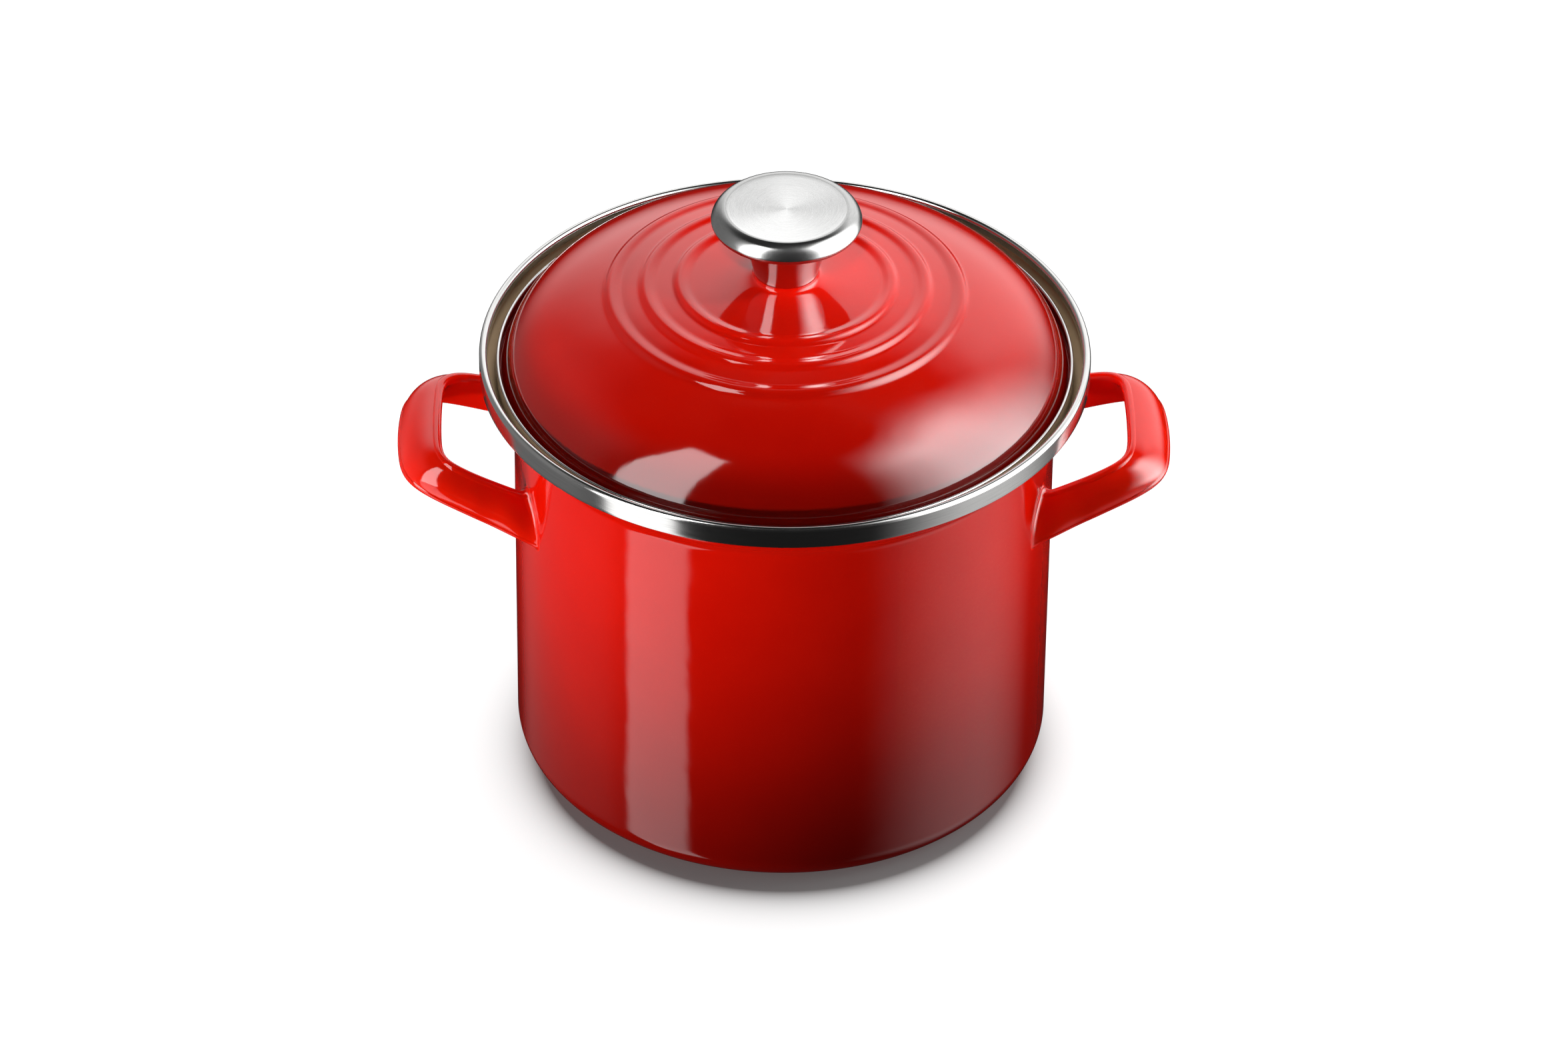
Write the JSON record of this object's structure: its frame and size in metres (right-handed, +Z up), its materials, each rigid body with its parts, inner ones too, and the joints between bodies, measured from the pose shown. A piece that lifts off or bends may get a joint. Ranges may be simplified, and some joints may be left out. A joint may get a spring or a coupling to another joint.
{
  "type": "stock pot",
  "caption": "Round enamelled stock pot with welded loop handles and a lift-off domed lid with pressed rings and a steel knob.",
  "frame": {"origin": "centre of the flat base, on the surface the pot stands on", "axes": "+Z up along the pot's axis, +X towards one handle, -Y towards the viewer"},
  "size_m": [0.295, 0.2318, 0.2431],
  "materials": {
    "pot_enamel": "gloss vitreous enamel, red outside and sand inside",
    "handle_enamel": "gloss vitreous enamel, red",
    "lid_enamel": "gloss vitreous enamel, red outside and sand inside",
    "rim_steel": "bright rolled stainless steel",
    "knob_steel": "turned stainless steel with fine concentric brushing",
    "stem_steel": "polished stainless steel",
    "fixing_steel": "plain stainless steel"
  },
  "bodies": {
    "pot": {"pot_shell": "pot_enamel", "pot_rim_band": "rim_steel", "left_handle": "handle_enamel", "right_handle": "handle_enamel"},
    "lid": {"lid_shell": "lid_enamel", "lid_rim_band": "rim_steel", "knob_stem": "stem_steel", "knob_head": "knob_steel", "knob_washer": "fixing_steel", "knob_screw": "fixing_steel"}
  },
  "joints": [
    {"name": "lid_lift", "type": "slide", "parent": "pot", "child": "lid", "axis": [0, 0, 1], "range_m": [0, 0.16]}
  ]
}
